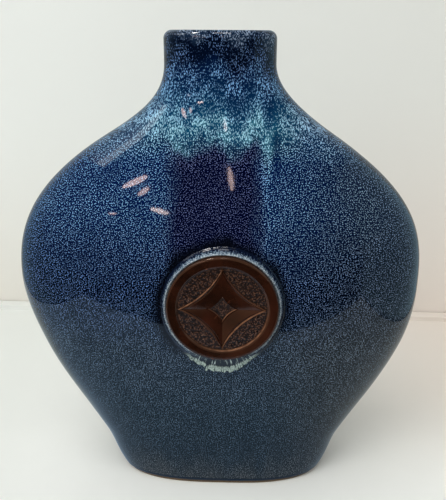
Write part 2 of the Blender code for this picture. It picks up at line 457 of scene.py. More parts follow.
def makeMedallion(bandGlaze, fieldGlaze):
    radius, top, field, edge = disc["radius"], disc["top"], disc["field"], disc["edge"]
    reach, waist = disc["starReach"], disc["starWaist"]
    innerReach, innerWaist, innerFloor = disc["innerReach"], disc["innerWaist"], disc["innerFloor"]
    rings = [circleRing(radius, disc["underside"])]
    rings += [circleRing(radius - edge * (1 - math.cos(turn)), top - edge * (1 - math.sin(turn)))
              for turn in steps(0, math.pi / 2, disc["edgeSteps"])]
    rings += [circleRing(bandRadius, out) for bandRadius, out in disc["band"]]
    fieldStart = len(rings)
    outline = waist + disc["starMargin"]
    edgeRing, starFoot = circleRing(disc["fieldRadius"], field), starRing(reach, outline, field)
    fade = disc["fieldFade"]
    for share in steps(0, 1, disc["fieldRings"]):
        rings.append(pebbled(between(edgeRing, starFoot, share), min(share * fade, (1 - share) * fade, 1)))
    fieldEnd = len(rings)
    rings += [starRing(reach - inward * disc["ridgeAtPoints"], outline - inward, out) for inward, out in disc["ridge"]]
    # four faces falling to the sunken middle
    shorter, narrower, out = disc["slopeTop"]
    slopeTop = starRing(reach - shorter, waist - narrower, out)
    longer, wider, out = disc["slopeFoot"]
    slopeFoot = starRing(innerReach + longer, innerWaist + wider, out)
    rings += [between(slopeTop, slopeFoot, share) for share in steps(0, 1, disc["slopeRings"])]
    rings += [starRing(innerReach + outward, innerWaist + outward, out) for outward, out in disc["innerStep"]]
    innerStart = len(rings)
    shorter, narrower = disc["innerMargin"]
    outerStar = starRing(innerReach - shorter, innerWaist - narrower, innerFloor)
    middle = circleRing(disc["innerMiddle"], innerFloor)
    for share in steps(0, 1, disc["innerRings"]):
        amount = min(share * disc["innerFade"], 1 if share < disc["innerPlain"] else 0)
        rings.append(pebbled(between(outerStar, middle, share), disc["innerPebbles"] * amount))
    bm = raiseRings(rings)
    ringNumber = bm.verts.layers.int["ring"]
    for face in bm.faces:
        numbers = [vert[ringNumber] for vert in face.verts]
        inField = fieldStart <= min(numbers) and max(numbers) < fieldEnd
        face.material_index = int(inField or min(numbers) >= innerStart)
    bmesh.ops.transform(bm, matrix=onFace, verts=bm.verts)
    finishPiece("pressed_medallion", bm, [bandGlaze, fieldGlaze], ["medallion"], sharp=50)


collar = {
    "seatRadius": 32.2, "crestRadius": 33.1, "crest": 1.85, "lowCrest": 0.75,
    # direction in degrees from the right, turning upwards, and how far out of the seat the pale glaze reaches there
    "reach": [(0, 2.3), (30, 2.1), (60, 1.9), (90, 2.0), (120, 2.1), (150, 2.1), (180, 2.1), (209, 3.4), (222, 4.4),
              (235, 6.0), (245, 7.4), (252, 9.5), (258, 11.4), (270, 11.9), (283, 11.3), (289, 7.9), (300, 5.4),
              (313, 4.4), (330, 2.6), (360, 2.3)],
    "edge": 1.6,                   # the navy edge beyond it, which runs out under the flecks
    "sway": 4.0, "swayWidth": 0.35,
    # drips, their fine part (share, and how many times finer), their share at the sides, and beads at their ends
    "drip": 1.5, "dripLength": 1.5, "fineDrip": (0.6, 2.3), "dripAside": 0.22, "bead": 0.3, "beadStart": 0.6,
    "elsewhere": (9, 0, 0),        # another part of the noise, for the fine drips
    "belowWidth": 0.75,            # radians to each side of straight below, where it runs down in drips
    "rings": 20, "fall": 1.9, "sunk": 0.12,
    # out of the seat's radius, and share of the crest's height, from the crest in to the seat
    "lip": [(0.7, 0.98), (0.5, 0.92), (0.3, 0.8), (0.15, 0.66), (0.05, 0.5), (0, 0.3)],
    # radius and height of the rings behind it and under the medallion; its back is sunk into the wall
    "behind": [(1.0, -3.4), (15.0, -3.2)], "back": (30.0, 1.6), "underEdge": (0.4, 0.9),
    "seat": [(32.2, 0.05), (32.1, 0), (15.0, 0), (1.0, 0)],
}


def reachTowards(degrees):
    for (start, low), (end, high) in zip(collar["reach"], collar["reach"][1:]):
        if start <= degrees <= end:
            return low + (high - low) * ease((degrees - start) / (end - start))


def wallUnderFace(across, up):
    # how far out from the seat's plane the wall lies, at a place on the face
    out = 0.0
    for _ in range(6):   # each round comes closer to it
        point = onFace @ Vector((across, up, out))
        out += (point.y - frontOfWall(point.x, point.z)) / math.cos(lean)
    return out


def makeCollar(material):
    crestRadius, seatRadius = collar["crestRadius"], collar["seatRadius"]
    dripSize, aside, (fine, finer) = collar["drip"], collar["dripAside"], collar["fineDrip"]
    elsewhere = Vector(collar["elsewhere"])
    ways = [Vector((math.cos(turn), math.sin(turn), 0)) for turn in discTurns]
    reachOf, beadOf, crestOf = [], [], []
    for turn, way in zip(discTurns, ways):
        # 1 straight below the disc
        below = math.exp(-abs(math.remainder(turn + math.pi / 2, math.tau) / collar["belowWidth"]) ** 3)
        around = way * crestRadius
        drips = noise.noise(around / dripSize) + fine * noise.noise(around / dripSize * finer + elsewhere)
        sway = collar["swayWidth"] * noise.noise(around / collar["sway"])
        reach = seatRadius - crestRadius + reachTowards(math.degrees(turn) % 360) + collar["edge"]
        reachOf.append(reach + sway + drips * collar["dripLength"] * (aside + (1 - aside) * below))
        beadOf.append(collar["bead"] * below * max(drips + collar["beadStart"], 0))
        crestOf.append(collar["crest"] + (collar["lowCrest"] - collar["crest"]) * below)

    def apronRing(share):
        ring = []
        for way, reach, bead, crest in zip(ways, reachOf, beadOf, crestOf):
            across, up, _ = way * (crestRadius + reach * share)
            wallOut = wallUnderFace(across, up)
            risen = (crest - wallOut) * (1 - share) ** collar["fall"] * (1 - share * share)
            beaded = bead * math.sin(math.pi * share) ** 2 * share
            ring.append(Vector((across, up, wallOut - collar["sunk"] * share + risen + beaded)))
        return ring

    backRadius, backDepth = collar["back"]
    inward, down = collar["underEdge"]
    rings = [circleRing(radius, out) for radius, out in collar["behind"]]
    rings.append([Vector((point.x, point.y, wallUnderFace(point.x, point.y) - backDepth))
                  for point in circleRing(backRadius, 0)])
    rings.append([point - way * inward - Vector((0, 0, down)) for point, way in zip(apronRing(1), ways)])
    rings += [apronRing(share) for share in reversed(steps(0, 1, collar["rings"]))]
    apronEnd = len(rings) - 1
    for beyond, share in collar["lip"]:
        lip = circleRing(seatRadius + beyond, 0)
        rings.append([Vector((point.x, point.y, crest * share)) for point, crest in zip(lip, crestOf)])
    rings += [circleRing(radius, out) for radius, out in collar["seat"]]
    bm = raiseRings(rings)
    ringNumber = bm.verts.layers.int["ring"]
    runDown = bm.verts.layers.float.new("runDown")   # 0 on the crest, 1 where the glaze meets the belly
    for vert in bm.verts:
        vert[runDown] = min(max((apronEnd - vert[ringNumber]) / collar["rings"], 0), 1)
    bmesh.ops.transform(bm, matrix=onFace, verts=bm.verts)
    finishPiece("glazed_collar", bm, [material], ["medallion_pad"], sharp=60)


# Cobalt glaze with a poured rutile glaze: a dark blue glass, in which pale crystals gather in flecks a millimetre or
# two apart. They are largest and turn turquoise where the glaze ran off the neck, stretch into runs below it, and
# fade into the glass towards the foot. The surface is glossy, with the faint ripple of a thick glaze

cobalt = {
    # flecks: mm from one to the next, and how much one differs from the next in size
    "fleck": (1.0, 0.16),
    # finer on the lower body, below a wavy line
    "lowFleck": (0.80, 0.28), "lowLevel": 128.0, "lowSway": 70.0,
    # on the neck they are drawn out into strands; mm, and the levels between which these set in
    "neckFleck": (0.66, 0.33), "neckStretch": 0.42, "neck": (212.0, 232.0),
    "strand": (0.7, 2.2), "strandGain": 0.9, "wander": 3.6, "wanderWidth": 2.4,
    # the grain that frays them in mm, where a fleck's rim lies, and from there to its bright middle, in fleck spacings
    "grain": 0.5, "ragged": 0.08, "rim": 0.05, "soft": 0.21,
    # width and height in mm, and how far each changes the size of the flecks
    "patch": (13.0, 13.0 / 0.6), "patchDepth": 0.12,
    "streak": (3.0, 60.0), "streakDepth": 0.06, "streakRise": (120.0, 215.0, 0.15, 1.0),
    "run": (10.0, 40.0), "runShift": 20.0, "runSway": 9.0,
    # clouds of the neck, which pale the flecks where they are thin
    "cloud": 10.0, "cloudDepth": 0.56, "veil": (0.36, 0.64, 0.55, 1.1),
    "front": (-2.0, -16.0),   # mm forward, where the front's own runs and curtain set in
    "ripple": 0.002,          # mm
    "gloss": (0.3, 0.7, 0.02, 0.05),
    # level up the wall: colour of the glass, colour of the flecks, size of the flecks
    "levels": [
        (0, "#262c31", "#7c7a7a", 0.21),
        (25, "#05141f", "#5d7085", 0.2),
        (55, "#00111e", "#6b839b", 0.2),
        (100, "#001021", "#8ca4c0", 0.2),
        (134, "#000922", "#90b3f1", 0.188),
        (160, "#000d30", "#9bc8ff", 0.190),
        (178, "#00143e", "#9dd0ff", 0.210),
        (208, "#00133e", "#93caff", 0.210),
        (219, "#062544", "#9ed2ee", 0.33),
        (229, "#0a4362", "#a4d2e4", 0.375),
        (238, "#053052", "#8abcdc", 0.295),
        (247, "#022244", "#7cacda", 0.265),
        (258, "#01163a", "#80b0e4", 0.265),
        (266, "#010a20", "#5f7cad", 0.22),
        (275, "#01091e", "#6480a8", 0.22),
        (279, "#14243a", "#8f9fb8", 0.34),
    ],
    # where glass and flecks turn to two other colours: greyer on the right, bluer on the shoulders, where the band is
    # thin, and dark in the curtain under the band, between two runs, where little rutile lies
    "right": ("#010c1c", "#9ca8b4"), "shadowAcross": (18.0, 90.0, 0.0, 0.65),
    "shoulder": ("#0a2a4c", "#98bee6"), "shoulderShare": 0.75,
    "shoulderAside": (30.0, 56.0), "shoulderLevel": (205.0, 218.0),
    "curtain": ("#010524", "#69739d"), "curtainSway": 14.0,
    "curtainPlace": [(-38.0, -20.0), (29.0, 15.0), (224.0, 213.0), (105.0, 170.0)],
    # in the thickest clouds of the band the flecks run together into a turquoise wash
    "wash": "#4a8796", "washClouds": (0.47, 0.66, 0.0, 0.44),
    "washPlace": [(214.0, 222.0), (238.0, 230.0), (36.0, 22.0)],
    # round the medallion the glass is darker and holds few flecks: mm from its middle, and what is left
    "halo": (35.0, 43.0), "haloGlass": "#02040c", "haloLeft": 0.06, "haloCentre": (-1.6, 0.8), "haloSway": -10.0,
    # tongues of the pale band: across, half width, how far each hangs down; and the share of the width that hangs full
    "tongueFull": 0.2,
    "tongues": [(-19.0, 11.0, 2.5), (9.0, 9.0, 5.0), (26.0, 5.0, 8.0)],
    # runs: across, half width, lowest and highest level, change in the size of the flecks. They fade across between two
    # shares of the half width, and over some mm at the foot and the head, but over no more than a share of the length
    "runFade": (0.1, 1.5), "runEnds": (14.0, 8.0), "runEndShare": 0.3,
    "runs": [
        (25.0, 3.6, 158, 223, 0.05),
        (27.5, 5.0, 217, 244, -0.13),
        (31.5, 3.4, 202, 236, -0.09),
        (46.0, 7.0, 226, 246, -0.04),
        (-31.0, 4.5, 135, 190, 0.02),
        (-36.0, 8.0, 229, 262, 0.17),
        (36.0, 5.0, 242, 262, 0.14),
        (-14.0, 7.0, 259, 274, -0.12),
    ],
}


def toNearestFleck(put, place, spacing, spread):
    # the distance to the nearest fleck, in fleck spacings, made shorter for some flecks and longer for others
    flecks = put("TexVoronoi", place, Scale=1 / spacing, voronoi_dimensions="2D")
    away = put("Math MULTIPLY_ADD", flecks.outputs["Color"], -spread, flecks)
    return put("Math ADD", away, 0.5 * spread)


def turnColours(put, share, colours, towards):
    return [put("Mix RGBA", share, colour, other) for colour, other in zip(colours, towards)]


def makeCobaltGlaze():
    material, put, shader, place = newMaterial("cobalt_rutile_glaze", IOR=1.5, Specular_IOR_Level=0.27)
    across, deep, level = put("SeparateXYZ", place).outputs
    toSide = put("Math ABSOLUTE", across)
    top = vase["knots"][-1][2]

    # where the glaze ran: the level is shifted by a noise drawn out downwards
    shift = put("Math SUBTRACT", drawnOut(put, place, *cobalt["run"]), 0.5)
    runLevel = put("Math MULTIPLY_ADD", shift, cobalt["runShift"], level)
    for centre, halfWidth, drop in cobalt["tongues"]:
        offset = put("Math ABSOLUTE", put("Math SUBTRACT", across, centre))
        hang = put("MapRange SMOOTHSTEP", offset, halfWidth * cobalt["tongueFull"], halfWidth, drop, 0.0)
        runLevel = put("Math ADD", runLevel, hang)
    share = put("Math DIVIDE", runLevel, top)
    heights, *looks = zip(*cobalt["levels"])
    glass, crystal, size = (fillRamp(put("ValToRGB", share), [(z / top, value) for z, value in zip(heights, values)])
                            for values in looks)
    aside = put("MapRange SMOOTHSTEP", across, *cobalt["shadowAcross"])
    glass, crystal = turnColours(put, aside, (glass, crystal), cobalt["right"])
    thinGlazeAndPaintedLight = put("MapRange SMOOTHSTEP", toSide, *cobalt["shoulderAside"])
    thinGlazeAndPaintedLight = put("Math MULTIPLY", thinGlazeAndPaintedLight, put("MapRange", level, *cobalt["shoulderLevel"]))
    thinGlazeAndPaintedLight = put("Math MULTIPLY", thinGlazeAndPaintedLight, cobalt["shoulderShare"])
    glass, crystal = turnColours(put, thinGlazeAndPaintedLight, (glass, crystal), cobalt["shoulder"])

    # drifts and fine streaks in the size of the flecks
    patch = drawnOut(put, place, *cobalt["patch"], Detail=3.0, Roughness=0.6)
    patchPart = put("Math SUBTRACT", patch, 0.5)
    size = put("Math MULTIPLY_ADD", patchPart, cobalt["patchDepth"], size)
    streak = put("Math SUBTRACT", drawnOut(put, place, *cobalt["streak"]), 0.5)
    streak = put("Math MULTIPLY", streak, put("MapRange SMOOTHSTEP", level, *cobalt["streakRise"]))
    size = put("Math MULTIPLY_ADD", streak, cobalt["streakDepth"], size)

    # the runs that show on the front, and the curtain between them
    front = put("MapRange SMOOTHSTEP", deep, *cobalt["front"])
    for centre, halfWidth, low, high, change in cobalt["runs"]:
        offset = put("Math SUBTRACT", across, centre)
        offset = put("Math MULTIPLY_ADD", shift, cobalt["runSway"], offset)
        offset = put("Math ABSOLUTE", offset)
        run = put("MapRange SMOOTHSTEP", offset, *[halfWidth * part for part in cobalt["runFade"]], change, 0.0)
        softFoot, softHead = [min(soft, cobalt["runEndShare"] * (high - low)) for soft in cobalt["runEnds"]]
        run = narrowed(put, run, (level, (low - softFoot, low + softFoot)), (level, (high + softHead, high - softHead)))
        size = put("Math MULTIPLY_ADD", run, front, size)
    drift = put("Math MULTIPLY_ADD", shift, cobalt["curtainSway"], across)
    curtain = narrowed(put, front, *zip((drift, drift, runLevel, level), cobalt["curtainPlace"]))
    glass, crystal = turnColours(put, curtain, (glass, crystal), cobalt["curtain"])

    # flecks: round spots, laid on from the front and the back and from the two sides, which meet where the wall turns
    normal = put("VectorMath ABSOLUTE", put("NewGeometry").outputs["Normal"])
    sideward, frontward, _ = put("SeparateXYZ", normal).outputs
    along = put("Mix", put("Math GREATER_THAN", sideward, frontward), across, deep)
    laid = put("CombineXYZ", along, level)
    line = put("Math MULTIPLY_ADD", patchPart, cobalt["lowSway"], level)
    low = put("Math LESS_THAN", line, cobalt["lowLevel"])
    away = put("Mix", low, toNearestFleck(put, laid, *cobalt["fleck"]), toNearestFleck(put, laid, *cobalt["lowFleck"]))
    # on the neck the glaze drew them out into wandering strands
    wander = put("TexNoise", place, Scale=1 / cobalt["wander"], Detail=1.0)
    wander = put("VectorMath SUBTRACT", wander.outputs["Color"], (0.5, 0.5, 0.5))
    wander = put("VectorMath SCALE", wander, cobalt["wanderWidth"])
    wander = put("VectorMath ADD", laid, wander)
    drawn = toNearestFleck(put, put("Mapping", wander, Scale=(1, cobalt["neckStretch"], 1)), *cobalt["neckFleck"])
    strand = put("Math SUBTRACT", drawnOut(put, place, *cobalt["strand"], Roughness=0.6), 0.5)
    drawn = put("Math MULTIPLY_ADD", strand, -cobalt["strandGain"], drawn)
    neckShare = put("MapRange SMOOTHSTEP", runLevel, *cobalt["neck"])
    away = put("Mix", neckShare, away, drawn)
    # a fine grain frays them, and they grow and pale in clouds on the neck
    grain = put("Math SUBTRACT", put("TexNoise", place, Scale=1 / cobalt["grain"], Detail=1.0), 0.5)
    away = put("Math MULTIPLY_ADD", grain, cobalt["ragged"], away)
    cloud = put("TexNoise", place, Scale=1 / cobalt["cloud"], Detail=3.0, Roughness=0.6)
    cloudPart = put("Math MULTIPLY", put("Math SUBTRACT", cloud, 0.5), neckShare)
    size = put("Math MULTIPLY_ADD", cloudPart, cobalt["cloudDepth"], size)
    away = put("Math SUBTRACT", away, size)
    shown = put("MapRange", away, cobalt["rim"], cobalt["rim"] - cobalt["soft"])
    veil = put("Mix", neckShare, 1.0, put("MapRange", cloud, *cobalt["veil"]))
    shown = put("Math MULTIPLY", shown, veil)

    # the wash, and the dark halo round the medallion
    wash = put("MapRange SMOOTHSTEP", cloud, *cobalt["washClouds"])
    wash = narrowed(put, wash, *zip((runLevel, runLevel, toSide), cobalt["washPlace"]))
    glass = put("Mix RGBA", wash, glass, cobalt["wash"])
    right, above = cobalt["haloCentre"]
    ringPlace = put("Mapping", place, Location=(-disc["across"] - right, 0, -disc["level"] - above), Scale=(1, 0, 1))
    ringAway = put("VectorMath LENGTH", ringPlace)
    ringAway = put("Math MULTIPLY_ADD", shift, cobalt["haloSway"], ringAway)
    beyond = put("MapRange SMOOTHSTEP", ringAway, *cobalt["halo"])
    beyond = put("Math MAXIMUM", beyond, put("Math SUBTRACT", 1.0, front))
    shown = put("Math MULTIPLY", shown, put("MapRange", beyond, 0.0, 1.0, cobalt["haloLeft"], 1.0))
    glass = put("Mix RGBA", beyond, cobalt["haloGlass"], glass)
    setInputs(shader, Base_Color=put("Mix RGBA", shown, glass, crystal),
              Roughness=put("MapRange", patch, *cobalt["gloss"]),
              Normal=put("Bump", Distance=cobalt["ripple"] * mm, Height=away))
    return material


# Liner glaze: the same dark glass without the rutile, thin and a little duller inside the vase

liner = {"pool": (9.0, 22.5), "colours": [(0.3, "#0a1220"), (0.55, "#15233a"), (0.75, "#24384f")],
         "gloss": (0.3, 0.7, 0.14, 0.26), "ripple": 0.04}


def makeLinerGlaze():
    material, put, shader, place = newMaterial("dark_liner_glaze", IOR=1.5)
    pools = drawnOut(put, place, *liner["pool"], Detail=4.0, Roughness=0.6)
    setInputs(shader, Base_Color=fillRamp(put("ValToRGB", pools), liner["colours"]),
              Roughness=put("MapRange", pools, *liner["gloss"]),
              Normal=put("Bump", Distance=liner["ripple"] * mm, Height=pools))
    return material


# Iron glaze of the medallion: a nearly black brown that breaks to rust where it is thin on the edges

ironGlaze = {
    "browns": [(0.35, "#1b0b05"), (0.52, "#2a130a"), (0.72, "#36190f")],
    "cloud": 14.0, "ripple": 2.2, "rippleDepth": 0.03,        # mm
    # warmer to the right, and darker at the top, where it ran off
    "right": (-26.0, 32.0, -0.02, 0.1), "head": (20.0, 30.0, 0.0, -0.14),
    # painted light: paler on the faces that turn up and to the left
    "thinGlazeAndPaintedLight": "#543a2c", "paintedLightShare": (-0.045, 0.03, 0.0, 0.42), "upLeft": (-0.5, 0, 0.86),
    # black where it pools in the grooves
    # black in the grooves: the glaze pools there, and painted shade darkens them
    "pool": "#0a0402", "poolAndGrooveShadeShare": (0.475, 0.42, 0.0, 0.85),
    # rust on the crests, less so near the middle, and orange at the lowest point of the star
    "breaks": "#8a5038", "orange": "#b8683f", "foot": (-17.0, -22.0),
    "crestShare": (0.53, 0.62, 0.0, 0.6), "crestPlace": (7.0, 10.0, 0.25, 1.0),
    # painted highlight in patches on the flanks of the star that face up and to the left, inside the band's rim
    "paintedFlankLight": "#8f654c", "paintedFlankLightShare": (0.3, 0.8, 0.0, 0.95), "rim": (29.5, 28.5),
    "flankLightPatches": 3.5, "flankLightPatchesShare": (0.4, 0.6, 0.35, 1.0),
    "gleam": "#f0d2be",
}


def makeIronGlaze():
    material, put, shader, place = newMaterial(
        "iron_brown_glaze", IOR=1.52, Roughness=0.10, Specular_Tint=ironGlaze["gleam"])
    across, _, up = put("SeparateXYZ", place).outputs
    above = put("Math SUBTRACT", up, disc["level"])
    geometry = put("NewGeometry").outputs
    facing = put("VectorMath DOT_PRODUCT", geometry["Normal"], ironGlaze["upLeft"])
    centred = put("Mapping", place, Location=(-seat.x, 0, -seat.z), Scale=(1, 0, 1))
    radius = put("VectorMath LENGTH", centred)

    warm = put("TexNoise", place, Scale=1 / ironGlaze["cloud"], Detail=3.0, Roughness=0.55)
    warm = put("Math ADD", warm, put("MapRange", across, *ironGlaze["right"]))
    warm = put("Math ADD", warm, put("MapRange", above, *ironGlaze["head"]))
    colour = fillRamp(put("ValToRGB", warm), ironGlaze["browns"])
    # painted light from the upper left: paler where the surface faces it
    colour = put("Mix RGBA", put("MapRange", facing, *ironGlaze["paintedLightShare"]), colour, ironGlaze["thinGlazeAndPaintedLight"])
    # pooled glaze and painted shade in the grooves
    pool = put("MapRange", geometry["Pointiness"], *ironGlaze["poolAndGrooveShadeShare"])
    colour = put("Mix RGBA", pool, colour, ironGlaze["pool"])
    crest = put("Math MULTIPLY", put("MapRange", geometry["Pointiness"], *ironGlaze["crestShare"]),
                put("MapRange", radius, *ironGlaze["crestPlace"]))
    breaks = put("Mix RGBA", put("MapRange", above, *ironGlaze["foot"]), ironGlaze["breaks"], ironGlaze["orange"])
    colour = put("Mix RGBA", crest, colour, breaks)
    # painted highlight on the flanks facing the upper left, broken into patches
    flankLightPatches = put("TexNoise", place, Scale=1 / ironGlaze["flankLightPatches"])
    paintedFlankLight = put("Math MULTIPLY", put("MapRange", facing, *ironGlaze["paintedFlankLightShare"]),
                put("MapRange", flankLightPatches, *ironGlaze["flankLightPatchesShare"]))
    paintedFlankLight = put("Math MULTIPLY", paintedFlankLight, put("MapRange", radius, *ironGlaze["rim"]))
    ripple = put("TexNoise", place, Scale=1 / ironGlaze["ripple"])
    setInputs(shader, Base_Color=put("Mix RGBA", paintedFlankLight, colour, ironGlaze["paintedFlankLight"]),
              Normal=put("Bump", Distance=ironGlaze["rippleDepth"] * mm, Height=ripple))
    return material


# The field between the star and the band: the same glaze, thin over pressed grain, so satin and peppered

pressedField = {
    "grain": 1.05, "fine": 0.8, "fineGain": -1.1, "depth": -0.14,      # mm
    "lift": 0.6, "browns": [(0.30, "#5f4030"), (0.42, "#3a2318"), (0.56, "#23120b"), (0.78, "#140904")],
    # a few grains that the glaze has left bare
    "bare": "#a5836c", "bareShare": (0.86, 0.92, 0.0, 0.75), "grainMiddle": (0.34, 0.22),
    "gloss": (0.3, 0.7, 0.22, 0.42),
}


def makePressedField():
    material, put, shader, place = newMaterial("satin_iron_glaze_on_grain", IOR=1.5, Specular_IOR_Level=0.3)
    grain = put("TexVoronoi", place, Scale=1 / pressedField["grain"])
    fine = put("TexNoise", place, Scale=1 / pressedField["fine"], Detail=3.0, Roughness=0.7)
    height = put("Math MULTIPLY_ADD", fine, pressedField["fineGain"], grain)
    lifted = put("Math ADD", height, pressedField["lift"])
    colour = fillRamp(put("ValToRGB", lifted), pressedField["browns"])
    bare = put("MapRange", grain.outputs["Color"], *pressedField["bareShare"])
    speck = put("Math MULTIPLY", bare, put("MapRange", grain, *pressedField["grainMiddle"]))
    setInputs(shader, Base_Color=put("Mix RGBA", speck, colour, pressedField["bare"]),
              Roughness=put("MapRange", fine, *pressedField["gloss"]),
              Normal=put("Bump", Distance=pressedField["depth"] * mm, Height=height))
    return material


# Rutile glaze thrown off by the collar: milky where it pooled on the crest, combed into dark and pale lines
# below the disc, and ending in pale green beads

rutile = {
    "comb": 0.75, "combRadius": 36.0, "combLength": 1.6, "mottle": 0.9, "ripple": 0.05,    # mm
    # mottled milk that thins out into navy at the sides, with painted shade greying it to the right and below
    "mottleGain": 1.9, "thinning": 1.25, "combGain": 0.7, "frayed": 0.4,
    "side": [(0.47, "#c6d0d8"), (0.58, "#65798c"), (0.68, "#0a1430"), (0.80, "#050c20")],
    "shade": "#59626b", "shadePlace": (0.4, -0.8, 0.0, 0.3), "upLeft": (-0.55, 0, 0.83),
    # below: dark roots combed with pale lines, then pale green tips with dark gaps, and a navy end
    "below": (-0.78, -0.93),
    "roots": [(0.46, "#0c0f14"), (0.58, "#0c0f14"), (0.67, "#a9b9b8")],
    "tips": [(0.38, "#22303a"), (0.48, "#a3b4ab"), (0.7, "#a9b9b8")],
    "tipStart": (0.68, 0.79), "tipComb": 0.5, "tipSpots": (0.35, 0.6, 0.45, 1.1),
    "end": "#050c20", "endPlace": (0.86, 0.94),
}


def makeRutileGlaze():
    material, put, shader, place = newMaterial("pale_rutile_glaze", IOR=1.5, Specular_IOR_Level=0.35, Roughness=0.12)
    centred = put("Mapping", place, Location=(-seat.x, 0, -seat.z), Scale=(1, 0, 1))
    away = put("Attribute", attribute_name="runDown").outputs["Fac"]
    # the comb runs outwards: noise over the direction from the middle of the disc, and a little over the distance
    way = put("VectorMath NORMALIZE", centred)
    combPlace = put("VectorMath SCALE", way, rutile["combRadius"] / rutile["comb"])
    outward = put("CombineXYZ", Y=put("Math MULTIPLY", away, rutile["combLength"]))
    comb = put("TexNoise", put("VectorMath ADD", combPlace, outward), Scale=1.0, Roughness=0.6)
    mottle = put("TexNoise", place, Scale=1 / rutile["mottle"], Detail=3.0, Roughness=0.7)

    frayed = put("Math MULTIPLY", away, rutile["thinning"])
    frayed = put("Math MULTIPLY_ADD", mottle, rutile["mottleGain"], frayed)
    frayed = put("Math MULTIPLY_ADD", comb, rutile["combGain"], frayed)
    side = fillRamp(put("ValToRGB", put("Math MULTIPLY", frayed, rutile["frayed"])), rutile["side"])
    # painted shade: greyer where the rim turns away from the upper left
    facing = put("VectorMath DOT_PRODUCT", way, rutile["upLeft"])
    dim = put("Mix RGBA", put("MapRange SMOOTHSTEP", facing, *rutile["shadePlace"]), "#ffffff", rutile["shade"])
    side = put("Mix RGBA", 1.0, side, dim, blend_type="MULTIPLY")

    roots, tips = fillRamp(put("ValToRGB", comb), rutile["roots"]), fillRamp(put("ValToRGB", comb), rutile["tips"])
    tips = put("VectorMath SCALE", tips, put("MapRange", mottle, *rutile["tipSpots"]))
    lines = put("Math MULTIPLY_ADD", comb, rutile["tipComb"], away)
    fall = put("Mix RGBA", put("MapRange SMOOTHSTEP", lines, *rutile["tipStart"]), roots, tips)
    fall = put("Mix RGBA", put("MapRange", away, *rutile["endPlace"]), fall, rutile["end"])
    below = put("MapRange SMOOTHSTEP", put("SeparateXYZ", way).outputs["Z"], *rutile["below"])
    setInputs(shader, Base_Color=put("Mix RGBA", below, side, fall),
              Normal=put("Bump", Distance=rutile["ripple"] * mm, Height=comb))
    return material


# Bare stoneware: iron-bearing clay, fired brown and toasted paler at the wiped edge, with the glaze's dark end above

clay = {
    "wander": 6.0, "wanderHeight": 1.2, "grit": 0.6, "gritDepth": 0.12,    # mm
    # colours up the ring, in parts of its height
    "height": 6.0,
    "bands": [(0.10, "#a08465"), (0.22, "#6a5641"), (0.36, "#6a5641"), (0.46, "#2c2620"), (0.60, "#141e2c")],
    "freckles": (0.3, 0.7, 0.72, 1.15), "gloss": (0.42, 0.56, 0.8, 0.15),
}


def makeStoneware():
    material, put, shader, place = newMaterial("bare_stoneware", IOR=1.45, Specular_IOR_Level=0.3)
    level = put("SeparateXYZ", place).outputs["Z"]
    wander = put("TexNoise", place, Scale=1 / clay["wander"], Detail=3.0, Roughness=0.6)
    grit = put("TexNoise", place, Scale=1 / clay["grit"], Detail=3.0, Roughness=0.7)
    height = put("Math MULTIPLY_ADD", wander, clay["wanderHeight"], level)
    height = put("Math DIVIDE", height, clay["height"])
    bands = fillRamp(put("ValToRGB", height), clay["bands"])
    freckles = put("MapRange", grit, *clay["freckles"])
    setInputs(shader, Base_Color=put("VectorMath SCALE", bands, freckles),
              Roughness=put("MapRange", height, *clay["gloss"]),
              Normal=put("Bump", Strength=0.6, Distance=clay["gritDepth"] * mm, Height=grit))
    return material


cobaltGlaze, linerGlaze = makeCobaltGlaze(), makeLinerGlaze()
print("glazes mixed")
glazes = [cobaltGlaze, linerGlaze]
makeShell("glazed_front_half", math.pi, glazes, "front_shell")
makeShell("glazed_back_half", 0.0, glazes, "back_shell")
makeNeck(glazes)
makeFootRing(makeStoneware())
makeMedallion(makeIronGlaze(), makePressedField())
makeCollar(makeRutileGlaze())
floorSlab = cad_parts["floor_slab"]
floorSlab.data.materials.clear()
floorSlab.data.materials.append(linerGlaze)
print("vase finished")


# Stage: a white table top whose front edge shows in the belly, and a pale wall behind it

